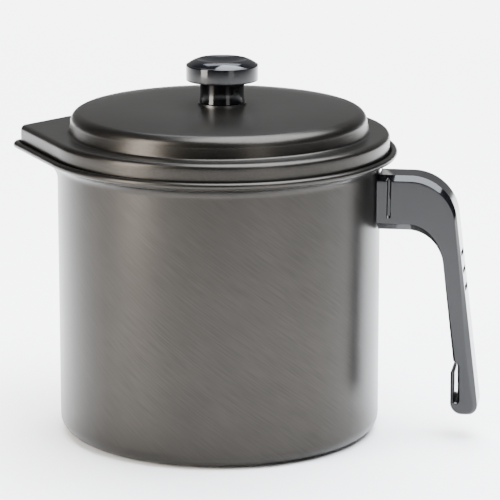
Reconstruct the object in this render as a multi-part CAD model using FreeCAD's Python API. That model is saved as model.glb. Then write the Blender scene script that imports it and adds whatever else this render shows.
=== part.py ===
import FreeCAD, Part
import math
import os

# Bacon grease container: a metal pot with a pouring lip, a lift-out strainer,
# a lid with a moulded knob and a moulded side handle with a hanging hook.
# Lengths are in millimetres, +Z is up, the origin is the centre of the pot's
# bottom, the handle points along +X and the pouring lip along -X.
# The XZ plane is the plane of symmetry.

# Pot
wall_radius = 70.0           # outside of the round wall
wall_thickness = 0.8         # sheet of the pot
base_corner_radius = 7.0     # outside corner between wall and bottom
lip_start = 110.0            # height at which the pouring lip leaves the wall
flare_start = 115.5          # height at which the round mouth begins to widen
mouth_base = 121.5           # height at which both end in the upright collar
flare_tilt = 75.0            # lean of the sheet where it meets the collar
mouth_flare = 5.15           # how far the mouth widens all round
lip_reach = 18.85            # how far the pouring lip stands out at the mouth
lip_nose_radius = 4.7        # outside radius of the lip's nose
mouth_collar = 1.95          # straight stretch between flare and rolled bead
bead_radius = 1.5            # outside radius of the rolled bead
bead_turn = 305.0            # how far the sheet is rolled round, in degrees
bead_inner_sides = 5         # straight sides of the roll's hidden inside

# Lid
lid_sheet = 0.7              # sheet of the lid
lid_side_clearance = 0.35    # between the skirt and the mouth
lid_seat_clearance = 0.3     # between the skirt's edge and the flare it sits on
skirt_height = 9.6           # height of the skirt with its rounded edge
flange_edge_radius = 1.3     # rounded edge between skirt and flange
flange_width = 9.0           # from the skirt to the foot of the raised middle
dome_wall_height = 5.2       # height from flange to the start of the shoulder
dome_wall_lean = 0.8         # how far the raised wall leans in
dome_foot_radius = 1.1       # hollow fillet at the foot
shoulder_radius = 2.4        # rounding between raised wall and crown
crown_rise = 4.3             # rise of the crown over the shoulder
crown_flat_radius = 13.0     # flat in the middle that carries the knob

# Knob
knob_offset = 1.5            # knob's axis behind the pot's axis
knob_neck_radius = 9.8
knob_neck_height = 11.2
knob_waist = 0.35            # how far the neck is drawn in at half height
knob_cap_radius = 15.6
knob_cap_side = 7.2          # height of the cap's upright side
knob_edge_radius = 0.6
knob_ring_rise = 1.1         # the ring rises from the edge to the dish
knob_dish_radius = 10.6
knob_dish_depth = 2.0
collar_radius = 10.5         # thin collar between knob and lid
collar_thickness = 0.7
insert_radius = 3.6          # threaded insert moulded into the knob
insert_length = 10.0
knob_screw_radius = 2.0
knob_screw_reach = 6.5       # how far the screw runs into the insert
screw_head_radius = 3.9
screw_head_height = 2.4
washer_radius = 5.5
washer_thickness = 0.8

# Handle
handle_width = 18.0
handle_top = 116.3           # height of the top face
handle_underside = 92.2      # height of the root's underside
outer_corner_reach = 32.2    # from the pot's wall to where top and outer face would meet
inner_corner_reach = 27.1    # from the wall to where underside and inner face would meet
grip_end_outer_reach = 45.1  # from the wall to the outer face at the lower end
grip_end_inner_reach = 36.7  # from the wall to the inner face at the lower end
outer_bend_radius = 20.0
inner_bend_radius = 15.4
handle_bottom = 11.4         # height of the lower end
top_bevel = 2.3              # bevel along the top and outer edges
under_bevel = 3.3            # bevel along the root's underside
grip_bevel = 0.9             # what is left of that bevel down the grip
end_round = 4.0              # rounding of the lower end's outer corner
hook_round = 5.0             # rounding of the hook's lower corner
wall_gap = 0.3               # between the handle's root and the pot
root_pad = 4.4               # from the wall to the start of the moulded neck
neck_width = 1.7
neck_depth = 1.1
neck_rise = 6.1              # from the root's underside to the neck's lower end
groove_count = 3             # finger grooves in the outer face
groove_pitch = 7.6
groove_first_height = 82.0
groove_height = 2.0
groove_length = 9.0
groove_depth = 0.9

# Hanging hook at the handle's lower end
hook_thickness = 1.8
hook_slot = 1.5              # slot between hook and grip
hook_slot_height = 14.0
hook_floor = 5.6             # material under the slot
hook_reach = 32.8            # from the wall to the hook's side towards the pot

# Bracket that carries the handle
bracket_sheet = 1.2
bracket_width = 13.0
bracket_height = 14.0
tongue_thickness = 3.0
tongue_length = 21.0
fit_clearance = 0.1          # running fit of screws, insert and tongue
handle_screw_reach = 15.0    # from the wall to the screw's axis
handle_screw_radius = 2.0
handle_screw_head = 3.6
handle_screw_sink = 3.6      # how deep the head lies in the underside
handle_screw_head_height = 2.2
bore_roof = 7.0              # handle left over the screw's bore

# Strainer
strainer_sheet = 0.6
strainer_seat_gap = 0.3          # under the rim's edge
strainer_rim_hold = 3.0          # how far the rim reaches over the pot's inner wall
strainer_rim_width = 5.4
strainer_rim_curl = 1.2          # height of the rim's turned up edge
strainer_depth = 20.0
strainer_lean = 3.0              # how far the bowl's wall leans in
strainer_corner = 4.0            # outside corner radius of the bowl
mesh_radius = 36.0
mesh_thickness = 0.4
mesh_frame_overlap = 2.5         # how far ring and pan cover the mesh edge
mesh_gap = 0.1                   # between mesh, pan and ring
ring_thickness = 0.6
ring_border = 1.6                # ring outside the mesh


def vec(x, y, z=0.0):
    return FreeCAD.Vector(x, y, z)


def smooth(u):
    """Soft step from 0 to 1."""
    u = min(max(u, 0.0), 1.0)
    return u * u * (3.0 - 2.0 * u)


def trumpet(u):
    """Share of the widening reached at share u of the height: slow, then fast."""
    k = math.sin(math.radians(flare_tilt))
    u = min(max(u, 0.0), 1.0)
    return (1.0 - math.sqrt(1.0 - (k * u) ** 2)) / (1.0 - math.sqrt(1.0 - k * k))


def contact_angle(radius, reach, nose):
    """Angle from -X at which the straight side meets the round."""
    return math.acos((radius - nose) / (reach - nose))


def lip_wire(radius, reach, nose, z):
    """Closed outline at height z: a circle with a straight-sided nose along -X."""
    if reach - radius < 0.01:
        beta = contact_angle(wall_radius + mouth_flare, wall_radius + lip_reach, lip_nose_radius)
        small = beta / 3.0
        stops = [math.pi - beta, math.pi - small, math.pi + small, math.pi + beta]
        points = [vec(radius * math.cos(a), radius * math.sin(a), z) for a in stops]
        middles = [math.pi - (beta + small) / 2.0, math.pi, math.pi + (beta + small) / 2.0]
        bends = [vec(radius * math.cos(a), radius * math.sin(a), z) for a in middles]
        edges = [
            Part.Arc(points[0], bends[0], points[1]).toShape(),
            Part.Arc(points[1], bends[1], points[2]).toShape(),
            Part.Arc(points[2], bends[2], points[3]).toShape(),
            Part.Arc(points[3], vec(radius, 0, z), points[0]).toShape(),
        ]
        return Part.Wire(edges)
    beta = contact_angle(radius, reach, nose)
    centre = -(reach - nose)
    direction = vec(-math.cos(beta), math.sin(beta))
    start = vec(radius * direction.x, radius * direction.y, z)
    turn = vec(centre + nose * direction.x, nose * direction.y, z)
    turn_back = vec(turn.x, -turn.y, z)
    start_back = vec(start.x, -start.y, z)
    edges = [
        Part.makeLine(start, turn),
        Part.Arc(turn, vec(-reach, 0, z), turn_back).toShape(),
        Part.makeLine(turn_back, start_back),
        Part.Arc(start_back, vec(radius, 0, z), start).toShape(),
    ]
    return Part.Wire(edges)


def flare_sizes(z):
    """Outside radius, reach and nose radius of the mouth at height z."""
    round_step = trumpet((z - flare_start) / (mouth_base - flare_start))
    lip_step = trumpet((z - lip_start) / (mouth_base - lip_start))
    radius = wall_radius + mouth_flare * round_step
    reach = wall_radius + lip_reach * lip_step
    full = wall_radius + mouth_flare - lip_nose_radius
    nose = radius - full * lip_step ** 0.35
    return radius, max(reach, radius), max(nose, lip_nose_radius)


def flare_inner_radius(z):
    return flare_sizes(z - wall_thickness)[0] - wall_thickness


def flare_solid(offset, steps=8):
    """Solid of the widening mouth, drawn in and lifted by offset."""
    wires = []
    tilt = math.radians(flare_tilt)
    for index in range(steps + 1):
        share = math.sin(tilt * index / steps) / math.sin(tilt)
        z = lip_start + (mouth_base - lip_start) * share
        radius, reach, nose = flare_sizes(z)
        wires.append(lip_wire(radius - offset, reach - offset, nose - offset, z + offset))
    return Part.makeLoft(wires, True, False)


def revolve(points_and_arcs):
    """Solid of revolution about the Z axis from a closed list of edges."""
    face = Part.Face(Part.Wire(points_and_arcs))
    return face.revolve(vec(0, 0, 0), vec(0, 0, 1), 360)


def line(a, b):
    return Part.makeLine(vec(a[0], 0, a[1]), vec(b[0], 0, b[1]))


def arc(a, m, b):
    return Part.Arc(vec(a[0], 0, a[1]), vec(m[0], 0, m[1]), vec(b[0], 0, b[1])).toShape()


def corner(centre, radius, first, last):
    """Arc about centre from one angle to another, in degrees, in the XZ plane."""
    middle = (first + last) / 2.0
    spots = []
    for angle in (first, middle, last):
        a = math.radians(angle)
        spots.append((centre[0] + radius * math.cos(a), centre[1] + radius * math.sin(a)))
    return arc(*spots)


def polygon_xz(spots, y, depth):
    """Straight-sided plate in the XZ plane, from y towards +Y."""
    wire = Part.makePolygon([vec(x, y, z) for x, z in spots + spots[:1]])
    return Part.Face(wire).extrude(vec(0, depth, 0))


def vertical_cylinder(radius, height, x, z):
    return Part.makeCylinder(radius, height, vec(x, 0, z), vec(0, 0, 1))


mouth_radius, mouth_reach, mouth_nose = flare_sizes(mouth_base)
bead_height = mouth_base + mouth_collar


def cup(radius, bottom, corner_radius, top):
    """Solid cup body with a rounded lower corner."""
    centre = (radius - corner_radius, bottom + corner_radius)
    edges = [
        line((0, bottom), (radius - corner_radius, bottom)),
        corner(centre, corner_radius, -90, 0),
        line((radius, bottom + corner_radius), (radius, top)),
        line((radius, top), (0, top)),
        line((0, top), (0, bottom)),
    ]
    return revolve(edges)


def rolled_bead():
    """The rim's sheet rolled outwards and down, carried round the mouth."""
    inner = bead_radius - wall_thickness
    centre = vec(mouth_radius - wall_thickness + bead_radius, 0, bead_height)

    def spot(radius, angle):
        a = math.radians(angle)
        return vec(centre.x + radius * math.cos(a), 0, centre.z + radius * math.sin(a))

    first, last = 180.0, 180.0 - bead_turn
    middle = (first + last) / 2.0
    outside = Part.Arc(spot(bead_radius, first), spot(bead_radius, middle), spot(bead_radius, last)).toShape()
    hidden = [spot(inner, last + (first - last) * index / bead_inner_sides)
              for index in range(bead_inner_sides + 1)]
    inside = Part.makePolygon([spot(bead_radius, last)] + hidden + [spot(bead_radius, first)])
    section = Part.Wire([outside] + inside.Edges)
    grow = bead_radius - wall_thickness
    path = lip_wire(mouth_radius + grow, mouth_reach + grow, mouth_nose + grow, bead_height)
    edges = path.Edges
    start = Part.Arc(vec(edges[3].Vertexes[0].X, edges[3].Vertexes[0].Y, bead_height),
                     vec(*point_on(mouth_radius + grow, -60.0, bead_height)),
                     vec(mouth_radius + grow, 0, bead_height)).toShape()
    end = Part.Arc(vec(mouth_radius + grow, 0, bead_height),
                   vec(*point_on(mouth_radius + grow, 60.0, bead_height)),
                   vec(edges[0].Vertexes[0].X, edges[0].Vertexes[0].Y, bead_height)).toShape()
    spine = Part.Wire([end, edges[0], edges[1], edges[2], start])
    return spine.makePipeShell([section], True, False)


def point_on(radius, angle, z):
    a = math.radians(angle)
    return radius * math.cos(a), radius * math.sin(a), z


def make_pot():
    """Drawn pot with its widened mouth, pouring lip and rolled bead."""
    outer = cup(wall_radius, 0.0, base_corner_radius, lip_start)
    inner_corner = max(base_corner_radius - wall_thickness, 0.5)
    inner = cup(wall_radius - wall_thickness, wall_thickness, inner_corner, lip_start + wall_thickness)
    collar_wire = lip_wire(mouth_radius, mouth_reach, mouth_nose, mouth_base)
    collar = Part.Face(collar_wire).extrude(vec(0, 0, mouth_collar))
    hole_wire = lip_wire(mouth_radius - wall_thickness, mouth_reach - wall_thickness,
                         mouth_nose - wall_thickness, mouth_base + wall_thickness)
    hole = Part.Face(hole_wire).extrude(vec(0, 0, mouth_collar + 4.0 * bead_radius))
    solid = outer.fuse([flare_solid(0.0), collar, rolled_bead()])
    empty = inner.fuse([flare_solid(wall_thickness), hole])
    return solid.cut(empty)


# Lid, seated on the flare of the mouth
lid_radius = mouth_radius - wall_thickness - lid_side_clearance
lid_reach = mouth_reach - wall_thickness - lid_side_clearance
lid_nose = mouth_nose - wall_thickness - lid_side_clearance
dome_radius = lid_radius - flange_width


def flare_height_at(inner_radius):
    """Height at which the inside of the flare has this radius."""
    low, high = flare_start, mouth_base + wall_thickness
    for _ in range(60):
        middle = (low + high) / 2.0
        if flare_inner_radius(middle) < inner_radius:
            low = middle
        else:
            high = middle
    return (low + high) / 2.0


lid_bottom = flare_height_at(lid_radius) + lid_seat_clearance
lid_flange = lid_bottom + skirt_height
crown_height = lid_flange + dome_wall_height + shoulder_radius + crown_rise


def skirt_block(offset, top_drop, edge_radius):
    """Solid under the flange, drawn in by offset, with a rounded top edge."""
    height = skirt_height - top_drop
    wire = lip_wire(lid_radius - offset, lid_reach - offset, lid_nose - offset, lid_bottom)
    block = Part.Face(wire).extrude(vec(0, 0, height))
    top = [e for e in block.Edges if abs(e.BoundBox.ZMin - (lid_bottom + height)) < 0.001
           and abs(e.BoundBox.ZMax - (lid_bottom + height)) < 0.001]
    return block.makeFillet(edge_radius, top)


def dome_block(offset):
    """Solid of the raised middle, drawn in by offset; offset 0 is the outside."""
    base = lid_flange - offset
    foot = dome_foot_radius + offset
    side_low = dome_radius - offset
    side_high = side_low - dome_wall_lean
    shoulder = shoulder_radius - offset
    side_top = lid_flange + dome_wall_height
    shoulder_x = side_high - shoulder
    shoulder_top = side_top + shoulder
    flat_z = crown_height - offset
    middle_x = (shoulder_x + crown_flat_radius) / 2.0
    middle_z = shoulder_top + (flat_z - shoulder_top) * 0.72
    edges = [
        line((0, base - 3.0), (side_low + foot, base - 3.0)),
        line((side_low + foot, base - 3.0), (side_low + foot, base)),
        corner((side_low + foot, base + foot), foot, 270, 180),
        line((side_low, base + foot), (side_high, side_top)),
        corner((shoulder_x, side_top), shoulder, 0, 90),
        arc((shoulder_x, shoulder_top), (middle_x, middle_z), (crown_flat_radius, flat_z)),
        line((crown_flat_radius, flat_z), (0, flat_z)),
        line((0, flat_z), (0, base - 3.0)),
    ]
    return revolve(edges)


def make_lid():
    """Pressed lid: skirt, flange, raised middle and the screw's hole."""
    outer = skirt_block(0.0, 0.0, flange_edge_radius)
    inner = skirt_block(lid_sheet, lid_sheet, max(flange_edge_radius - lid_sheet, 0.3))
    dome_out = dome_block(0.0)
    room = vertical_cylinder(dome_radius + 4.0, crown_height - lid_flange + 7.0, 0.0, lid_flange - 3.5)
    dome_out = dome_out.common(room)
    dome_in = dome_block(lid_sheet)
    lid = outer.fuse(dome_out).cut(inner.fuse(dome_in))
    hole = vertical_cylinder(knob_screw_radius + fit_clearance, 6.0, knob_offset, crown_height - 3.0)
    return lid.cut(hole)


knob_base = crown_height + collar_thickness


def at_knob(shape):
    shape.translate(vec(knob_offset, 0, 0))
    return shape


def make_knob():
    """Moulded knob: waisted neck, upright cap, sloping ring and hollow dish."""
    cap_low = knob_base + knob_neck_height
    cap_high = cap_low + knob_cap_side
    edge = knob_edge_radius
    ring_top = cap_high + knob_ring_rise
    middle = knob_base + knob_neck_height * 0.5
    bore = insert_radius + fit_clearance
    deep = knob_base + insert_length + fit_clearance
    dish_sphere = (knob_dish_radius ** 2 + knob_dish_depth ** 2) / (2.0 * knob_dish_depth)
    dish_centre = ring_top - knob_dish_depth + dish_sphere
    slope = knob_ring_rise / (knob_cap_radius - edge - knob_dish_radius)
    edges = [
        line((bore, knob_base), (knob_neck_radius, knob_base)),
        arc((knob_neck_radius, knob_base), (knob_neck_radius - knob_waist, middle),
            (knob_neck_radius, cap_low)),
        line((knob_neck_radius, cap_low), (knob_cap_radius - edge, cap_low)),
        corner((knob_cap_radius - edge, cap_low + edge), edge, -90, 0),
        line((knob_cap_radius, cap_low + edge), (knob_cap_radius, cap_high - edge)),
        corner((knob_cap_radius - edge, cap_high - edge), edge, 0, 90),
        line((knob_cap_radius - edge, cap_high), (knob_dish_radius - 1.0, ring_top + slope)),
        line((knob_dish_radius - 1.0, ring_top + slope), (0, ring_top + slope)),
        line((0, ring_top + slope), (0, deep)),
        line((0, deep), (bore, deep)),
        line((bore, deep), (bore, knob_base)),
    ]
    dish = Part.makeSphere(dish_sphere, vec(0, 0, dish_centre), vec(0, 1, 0))
    return at_knob(revolve(edges).cut(dish))


def make_knob_collar():
    """Thin flat collar between the knob's neck and the lid."""
    ring = vertical_cylinder(collar_radius, collar_thickness, 0, crown_height)
    hole = vertical_cylinder(knob_screw_radius + fit_clearance, collar_thickness, 0, crown_height)
    return at_knob(ring.cut(hole))


def make_knob_insert():
    """Threaded insert with a grip groove round its outside."""
    body = vertical_cylinder(insert_radius, insert_length, 0, knob_base)
    bore = vertical_cylinder(knob_screw_radius + fit_clearance, insert_length, 0, knob_base)
    ring = vertical_cylinder(insert_radius + 1.0, 1.6, 0, knob_base + insert_length * 0.5 - 0.8)
    core = vertical_cylinder(insert_radius - 0.6, 1.6, 0, knob_base + insert_length * 0.5 - 0.8)
    return at_knob(body.cut(bore).cut(ring.cut(core)))


washer_top = crown_height - lid_sheet
washer_bottom = washer_top - washer_thickness


def make_lid_washer():
    """Flat washer under the lid."""
    disc = vertical_cylinder(washer_radius, washer_thickness, 0, washer_bottom)
    hole = vertical_cylinder(knob_screw_radius + fit_clearance, washer_thickness, 0, washer_bottom)
    return at_knob(disc.cut(hole))


def screw_head(radius, height, z):
    """Domed head whose flat side lies at z and whose crown points down."""
    low = z - height
    rim = z - height * 0.45
    edges = [
        line((0, z), (radius, z)),
        line((radius, z), (radius, rim)),
        arc((radius, rim), (radius * 0.72, z - height * 0.82), (0, low)),
        line((0, low), (0, z)),
    ]
    return revolve(edges)


def cross_slot(radius, z):
    """Cross recess cut up into a head from z."""
    long_bar = Part.makeBox(radius * 1.2, radius * 0.26, 1.2, vec(-radius * 0.6, -radius * 0.13, z))
    wide_bar = Part.makeBox(radius * 0.26, radius * 1.2, 1.2, vec(-radius * 0.13, -radius * 0.6, z))
    return long_bar.fuse(wide_bar)


def make_knob_screw():
    """Screw from under the lid into the knob's insert."""
    head = screw_head(screw_head_radius, screw_head_height, washer_bottom)
    head = head.cut(cross_slot(screw_head_radius, washer_bottom - screw_head_height - 0.01))
    length = knob_base + knob_screw_reach - washer_bottom
    shank = vertical_cylinder(knob_screw_radius, length, 0, washer_bottom)
    return at_knob(head.fuse(shank).removeSplitter())


def unit(a, b):
    length = math.hypot(b[0] - a[0], b[1] - a[1])
    return (b[0] - a[0]) / length, (b[1] - a[1]) / length


def rounded_corner(before, at, after, radius):
    """Start, middle and end of the arc that rounds a corner."""
    a = unit(at, before)
    b = unit(at, after)
    half = math.acos(max(-1.0, min(1.0, a[0] * b[0] + a[1] * b[1]))) / 2.0
    run = radius / math.tan(half)
    start = (at[0] + a[0] * run, at[1] + a[1] * run)
    end = (at[0] + b[0] * run, at[1] + b[1] * run)
    middle_way = unit((0.0, 0.0), (a[0] + b[0], a[1] + b[1]))
    far = radius / math.sin(half)
    centre = (at[0] + middle_way[0] * far, at[1] + middle_way[1] * far)
    middle = (centre[0] - middle_way[0] * radius, centre[1] - middle_way[1] * radius)
    return start, middle, end, centre


def rounded_outline(corners):
    """Closed wire in the XZ plane through corners given as x, z, radius."""
    count = len(corners)
    edges = []
    bends = []
    for index in range(count):
        before = corners[index - 1]
        at = corners[index]
        after = corners[(index + 1) % count]
        if at[2] > 0:
            bends.append(rounded_corner(before, at, after, at[2]))
        else:
            bends.append((at[:2], None, at[:2], None))
    for index in range(count):
        start, middle, end, _ = bends[index]
        if middle:
            edges.append(arc(start, middle, end))
        following = bends[(index + 1) % count][0]
        if math.hypot(following[0] - end[0], following[1] - end[1]) > 0.001:
            edges.append(line(end, following))
    return Part.Wire(edges)


root_x = wall_radius - 2.0
outer_corner_x = wall_radius + outer_corner_reach
inner_corner_x = wall_radius + inner_corner_reach
grip_end_outer_x = wall_radius + grip_end_outer_reach
grip_end_inner_x = wall_radius + grip_end_inner_reach
hook_outer_x = wall_radius + hook_reach
neck_position = wall_radius + root_pad
neck_bottom = handle_underside + neck_rise
handle_screw_x = wall_radius + handle_screw_reach
bracket_middle = (handle_top + handle_underside) / 2.0
outer_low = (grip_end_outer_x, handle_bottom)
inner_low = (grip_end_inner_x, handle_bottom)
outer_corner = (outer_corner_x, handle_top)
inner_corner = (inner_corner_x, handle_underside)
hook_top = handle_bottom + hook_floor + hook_slot_height


def inner_face_x(z):
    """Inner face of the grip at height z."""
    share = (handle_underside - z) / (handle_underside - handle_bottom)
    return inner_corner_x + (grip_end_inner_x - inner_corner_x) * share


def outer_face_x(z):
    """Outer face of the grip at height z."""
    share = (handle_top - z) / (handle_top - handle_bottom)
    return outer_corner_x + (grip_end_outer_x - outer_corner_x) * share


def handle_profile():
    """Side outline of the handle, with the hook's outside and without its slot."""
    join = hook_top + hook_thickness
    return rounded_outline([
        (root_x, handle_underside, 0),
        (root_x, handle_top, 0),
        (outer_corner_x, handle_top, outer_bend_radius),
        (grip_end_outer_x, handle_bottom, end_round),
        (hook_outer_x, handle_bottom, hook_round),
        (hook_outer_x, hook_top, hook_thickness * 0.7),
        (inner_face_x(join), join, 0),
        (inner_corner_x, handle_underside, inner_bend_radius),
    ])


def hook_void():
    """Slot behind the hook, open at the top towards the pot."""
    low = handle_bottom + hook_floor
    left = hook_outer_x + hook_thickness
    right = left + hook_slot
    mouth = hook_top + hook_slot * 2.0
    wire = rounded_outline([
        (left, low, hook_slot * 0.49),
        (right, low, hook_slot * 0.49),
        (right, mouth, hook_slot),
        (left - 2.0 * hook_thickness, mouth + hook_slot, 0),
        (left - 2.0 * hook_thickness, hook_top + 0.2, 0),
        (left, hook_top - 0.6 * hook_thickness, 0.5),
    ])
    face = Part.Face(wire)
    face.translate(vec(0, -handle_width, 0))
    return face.extrude(vec(0, 2.0 * handle_width, 0))


def pot_envelope(gap):
    """The round side of the pot grown by a gap, to shape what stands against it."""
    top = bead_height + bead_radius + gap
    bead_outer = mouth_radius - wall_thickness + 2.0 * bead_radius + gap
    edges = [line((0, -5.0), (wall_radius + gap, -5.0))]
    last = (wall_radius + gap, -5.0)
    for index in range(9):
        z = flare_start + (mouth_base - flare_start) * index / 8.0 - gap
        spot = (flare_sizes(z + gap)[0] + gap, z)
        edges.append(line(last, spot))
        last = spot
    step = (bead_outer, bead_height - bead_radius - gap)
    edges.append(line(last, step))
    edges.append(line(step, (bead_outer, top)))
    edges.append(line((bead_outer, top), (0, top)))
    edges.append(line((0, top), (0, -5.0)))
    return revolve(edges)


def wedge_section(spot, outward, size, side):
    """Triangle across the handle's edge; outward is the outline's normal there."""
    half = handle_width / 2.0
    spill = 0.2
    foot = (spot[0] + outward[0] * spill, spot[1] + outward[1] * spill)
    deep = (spot[0] - outward[0] * (size + spill), spot[1] - outward[1] * (size + spill))
    return Part.makePolygon([
        vec(foot[0], side * (half + spill), foot[1]),
        vec(foot[0], side * (half - size - spill), foot[1]),
        vec(deep[0], side * (half + spill), deep[1]),
        vec(foot[0], side * (half + spill), foot[1])])


def straight_wedge(first, last, outward, size, side):
    """Bevel along a straight stretch of the outline."""
    return Part.makeLoft([wedge_section(first, outward, size, side),
                          wedge_section(last, outward, size, side)], True, True)


def bend_wedge(bend, turned_out, first_size, last_size, side, steps=6):
    """Bevel round a bend of the outline, from one size to another."""
    start, _, end, centre = bend
    first = math.atan2(start[1] - centre[1], start[0] - centre[0])
    last = math.atan2(end[1] - centre[1], end[0] - centre[0])
    if last - first > math.pi:
        last -= 2.0 * math.pi
    if first - last > math.pi:
        last += 2.0 * math.pi
    radius = math.hypot(start[0] - centre[0], start[1] - centre[1])
    sections = []
    for index in range(steps + 1):
        share = index / steps
        angle = first + (last - first) * share
        way = (math.cos(angle), math.sin(angle))
        spot = (centre[0] + radius * way[0], centre[1] + radius * way[1])
        size = first_size + (last_size - first_size) * smooth(share)
        sections.append(wedge_section(spot, (turned_out * way[0], turned_out * way[1]), size, side))
    way = (turned_out * math.cos(last), turned_out * math.sin(last))
    return Part.makeLoft(sections, True, False), end, way


def under_wedge(side):
    """Bevel along the underside that narrows round the bend and runs down the grip."""
    bend = rounded_corner((root_x, handle_underside), inner_corner, inner_low, inner_bend_radius)
    root = straight_wedge((root_x - 1.0, handle_underside), bend[0], (0.0, -1.0), under_bevel, side)
    turn, end, way = bend_wedge(bend, -1.0, under_bevel, grip_bevel, side)
    low = hook_top + 2.0 * hook_thickness
    grip = straight_wedge(end, (inner_face_x(low), low), way, grip_bevel, side)
    return [root, turn, grip]


def outer_wedge(side):
    """Bevel along the top face, round the bend, down the grip and under its end."""
    bend = rounded_corner((root_x, handle_top), outer_corner, outer_low, outer_bend_radius)
    top = straight_wedge((root_x - 1.0, handle_top), bend[0], (0.0, 1.0), top_bevel, side)
    turn, end, way = bend_wedge(bend, 1.0, top_bevel, top_bevel, side)
    low_bend = rounded_corner(outer_corner, outer_low, (hook_outer_x, handle_bottom), end_round)
    grip = straight_wedge(end, low_bend[0], way, top_bevel, side)
    low_turn, low_end, low_way = bend_wedge(low_bend, 1.0, top_bevel, grip_bevel, side, 4)
    tail = straight_wedge(low_end, (hook_outer_x + hook_round, handle_bottom), low_way, grip_bevel, side)
    return [top, turn, grip, low_turn, tail]


def make_handle():
    """Moulded handle with bevelled edges, neck, grooves, hook and socket."""
    half = handle_width / 2.0
    face = Part.Face(handle_profile())
    face.translate(vec(0, -half, 0))
    body = face.extrude(vec(0, handle_width, 0))
    for side in (-1.0, 1.0):
        body = body.cut(outer_wedge(side))
        body = body.cut(under_wedge(side))
    body = body.cut(hook_void())
    cuts = []
    for side in (-1.0, 1.0):
        low_y = side * half - neck_depth if side > 0 else side * half - 1.0
        cuts.append(Part.makeBox(neck_width, neck_depth + 1.0, handle_top - neck_bottom + 1.0,
                                 vec(neck_position, low_y, neck_bottom)))
    for index in range(groove_count):
        z = groove_first_height - index * groove_pitch
        x = outer_face_x(z)
        groove = Part.makeBox(groove_depth * 3.0, groove_length, groove_height,
                              vec(x - groove_depth, -groove_length / 2.0, z - groove_height / 2.0))
        cuts.append(groove)
    socket_clear = fit_clearance
    tongue_end = wall_radius + tongue_length + socket_clear
    tongue_half = bracket_width / 2.0 + socket_clear
    cuts.append(Part.makeBox(tongue_end, 2.0 * tongue_half, tongue_thickness + 2.0 * socket_clear,
                             vec(0, -tongue_half, bracket_middle - tongue_thickness / 2.0 - socket_clear)))
    plate_end = wall_radius + bracket_sheet + wall_gap + socket_clear
    cuts.append(Part.makeBox(plate_end, 2.0 * tongue_half, bracket_height + 2.0 * socket_clear,
                             vec(0, -tongue_half, bracket_middle - bracket_height / 2.0 - socket_clear)))
    shank_hole = handle_screw_radius + fit_clearance
    cuts.append(vertical_cylinder(shank_hole, handle_top - handle_underside - bore_roof,
                                  handle_screw_x, handle_underside - 1.0))
    head_hole = handle_screw_head + fit_clearance
    cuts.append(vertical_cylinder(head_hole, handle_screw_sink + 1.0, handle_screw_x, handle_underside - 1.0))
    cuts.append(pot_envelope(wall_gap))
    return body.cut(cuts)


def make_bracket():
    """Pressed bracket: a plate bent to the wall and a tongue for the screw."""
    low = bracket_middle - bracket_height / 2.0
    inner_r = wall_radius + fit_clearance
    ring = Part.makeCylinder(inner_r + bracket_sheet, bracket_height, vec(0, 0, low))
    ring = ring.cut(Part.makeCylinder(inner_r, bracket_height, vec(0, 0, low)))
    band = Part.makeBox(2.0 * wall_radius, bracket_width, bracket_height,
                        vec(wall_radius * 0.5, -bracket_width / 2.0, low))
    plate = ring.common(band)
    tongue = Part.makeBox(tongue_length - bracket_sheet * 0.5, bracket_width, tongue_thickness,
                          vec(wall_radius + bracket_sheet * 0.5, -bracket_width / 2.0,
                              bracket_middle - tongue_thickness / 2.0))
    hole = vertical_cylinder(handle_screw_radius + fit_clearance, tongue_thickness,
                             handle_screw_x, bracket_middle - tongue_thickness / 2.0)
    return plate.fuse(tongue).cut(hole).removeSplitter()


def make_handle_screw():
    """Screw from the underside of the handle's root up into the tongue."""
    seat = handle_underside + handle_screw_sink
    head = screw_head(handle_screw_head, handle_screw_head_height, seat)
    head = head.cut(cross_slot(handle_screw_head, seat - handle_screw_head_height - 0.01))
    length = bracket_middle + tongue_thickness / 2.0 - seat
    shank = vertical_cylinder(handle_screw_radius, length, 0, seat)
    screw = head.fuse(shank).removeSplitter()
    screw.translate(vec(handle_screw_x, 0, 0))
    return screw


rim_radius = wall_radius - wall_thickness + strainer_rim_hold
strainer_rim_height = flare_height_at(rim_radius) + strainer_seat_gap
bowl_radius = rim_radius - strainer_rim_width
bowl_bottom = strainer_rim_height + strainer_sheet - strainer_depth


def make_strainer_pan():
    """Pressed strainer pan: rim with a turned up edge, leaning wall and holed floor."""
    sheet = strainer_sheet
    foot = bowl_radius - strainer_lean
    rim_low = strainer_rim_height
    rim_high = rim_low + sheet
    c = strainer_corner
    inner_c = max(c - sheet, 0.5)
    hole = mesh_radius - mesh_frame_overlap
    edges = [
        line((hole, bowl_bottom), (foot - c, bowl_bottom)),
        corner((foot - c, bowl_bottom + c), c, -90, 0),
        line((foot, bowl_bottom + c), (bowl_radius, rim_low)),
        line((bowl_radius, rim_low), (rim_radius, rim_low)),
        line((rim_radius, rim_low), (rim_radius, rim_low + strainer_rim_curl)),
        line((rim_radius, rim_low + strainer_rim_curl), (rim_radius - sheet, rim_low + strainer_rim_curl)),
        line((rim_radius - sheet, rim_low + strainer_rim_curl), (rim_radius - sheet, rim_high)),
        line((rim_radius - sheet, rim_high), (bowl_radius - sheet, rim_high)),
        line((bowl_radius - sheet, rim_high), (foot - sheet, bowl_bottom + c)),
        corner((foot - sheet - inner_c, bowl_bottom + c), inner_c, 0, -90),
        line((foot - sheet - inner_c, bowl_bottom + c - inner_c), (hole, bowl_bottom + c - inner_c)),
        line((hole, bowl_bottom + c - inner_c), (hole, bowl_bottom)),
    ]
    return revolve(edges)


floor_top = bowl_bottom + strainer_corner - max(strainer_corner - strainer_sheet, 0.5)
mesh_low = floor_top + mesh_gap


def make_strainer_mesh():
    """Round of fine mesh that lies on the pan's floor."""
    return vertical_cylinder(mesh_radius, mesh_thickness, 0, mesh_low)


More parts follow.
